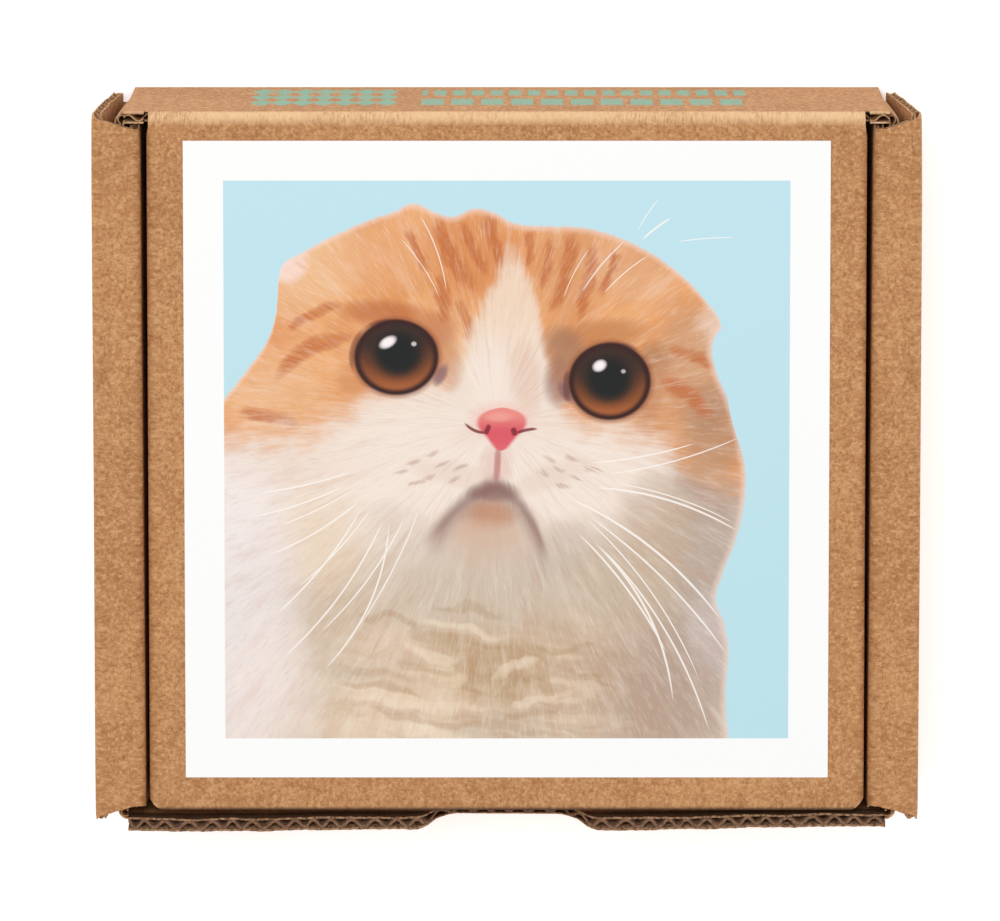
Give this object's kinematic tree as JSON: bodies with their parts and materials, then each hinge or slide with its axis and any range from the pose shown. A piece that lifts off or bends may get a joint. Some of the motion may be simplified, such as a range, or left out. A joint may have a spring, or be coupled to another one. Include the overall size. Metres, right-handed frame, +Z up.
{
  "type": "boxed jigsaw puzzle",
  "caption": "Corrugated mailer box with a hinged tuck-in lid, rolled side walls and a square picture label, holding a heap of interlocking jigsaw pieces.",
  "frame": {"origin": "centre of the base, on the surface the box lies on", "axes": "+X along the box's width to the right of the picture, +Y towards the lid's hinge, +Z up"},
  "size_m": [0.135, 0.117, 0.0282],
  "materials": {
    "kraft_board": "matte",
    "label_paper": "satin",
    "puzzle_board": "satin"
  },
  "bodies": {
    "tray": {"bottom_panel": "kraft_board", "back_wall": "kraft_board", "front_wall": "kraft_board", "left_outer_wall": "kraft_board", "left_rolled_top": "kraft_board", "left_inner_wall": "kraft_board", "right_outer_wall": "kraft_board", "right_rolled_top": "kraft_board", "right_inner_wall": "kraft_board", "front_left_corner_tab": "kraft_board", "back_left_corner_tab": "kraft_board", "front_right_corner_tab": "kraft_board", "back_right_corner_tab": "kraft_board"},
    "lid": {"lid_panel": "kraft_board", "picture_label": "label_paper"},
    "tuck_flap": {"tuck_flap": "kraft_board"},
    "left_ear": {"left_lid_ear": "kraft_board"},
    "right_ear": {"right_lid_ear": "kraft_board"},
    "puzzle": {"puzzle_piece_01": "puzzle_board", "puzzle_piece_02": "puzzle_board", "puzzle_piece_03": "puzzle_board", "puzzle_piece_04": "puzzle_board", "puzzle_piece_05": "puzzle_board", "puzzle_piece_06": "puzzle_board", "puzzle_piece_07": "puzzle_board", "puzzle_piece_08": "puzzle_board", "puzzle_piece_09": "puzzle_board", "puzzle_piece_10": "puzzle_board", "puzzle_piece_11": "puzzle_board", "puzzle_piece_12": "puzzle_board", "puzzle_piece_13": "puzzle_board", "puzzle_piece_14": "puzzle_board", "puzzle_piece_15": "puzzle_board", "puzzle_piece_16": "puzzle_board", "puzzle_piece_17": "puzzle_board", "puzzle_piece_18": "puzzle_board", "puzzle_piece_19": "puzzle_board", "puzzle_piece_20": "puzzle_board", "puzzle_piece_21": "puzzle_board", "puzzle_piece_22": "puzzle_board", "puzzle_piece_23": "puzzle_board", "puzzle_piece_24": "puzzle_board", "puzzle_piece_25": "puzzle_board", "puzzle_piece_26": "puzzle_board", "puzzle_piece_27": "puzzle_board", "puzzle_piece_28": "puzzle_board", "puzzle_piece_29": "puzzle_board", "puzzle_piece_30": "puzzle_board", "puzzle_piece_31": "puzzle_board", "puzzle_piece_32": "puzzle_board", "puzzle_piece_33": "puzzle_board", "puzzle_piece_34": "puzzle_board", "puzzle_piece_35": "puzzle_board", "puzzle_piece_36": "puzzle_board"}
  },
  "joints": [
    {"name": "lid_hinge", "type": "hinge", "parent": "tray", "child": "lid", "pos_m": [0, 0.0576, 0.0271], "axis": [-1, 0, 0], "range_deg": [0, 180]},
    {"name": "tuck_flap_fold", "type": "hinge", "parent": "lid", "child": "tuck_flap", "pos_m": [0, -0.055, 0.0271], "axis": [-1, 0, 0], "range_deg": [0, 45]},
    {"name": "left_ear_fold", "type": "hinge", "parent": "lid", "child": "left_ear", "pos_m": [-0.0576, 0, 0.0271], "axis": [0, 1, 0], "range_deg": [0, 27]},
    {"name": "right_ear_fold", "type": "hinge", "parent": "lid", "child": "right_ear", "pos_m": [0.0576, 0, 0.0271], "axis": [0, -1, 0], "range_deg": [0, 27]},
    {"name": "puzzle_lift", "type": "slide", "parent": "tray", "child": "puzzle", "axis": [0, 0, 1], "range_m": [0, 0.009]}
  ],
  "couplings": [
    {"joint": "tuck_flap_fold", "follows": "lid_hinge", "ratio": 0.25},
    {"joint": "left_ear_fold", "follows": "lid_hinge", "ratio": 0.15},
    {"joint": "right_ear_fold", "follows": "lid_hinge", "ratio": 0.15}
  ]
}
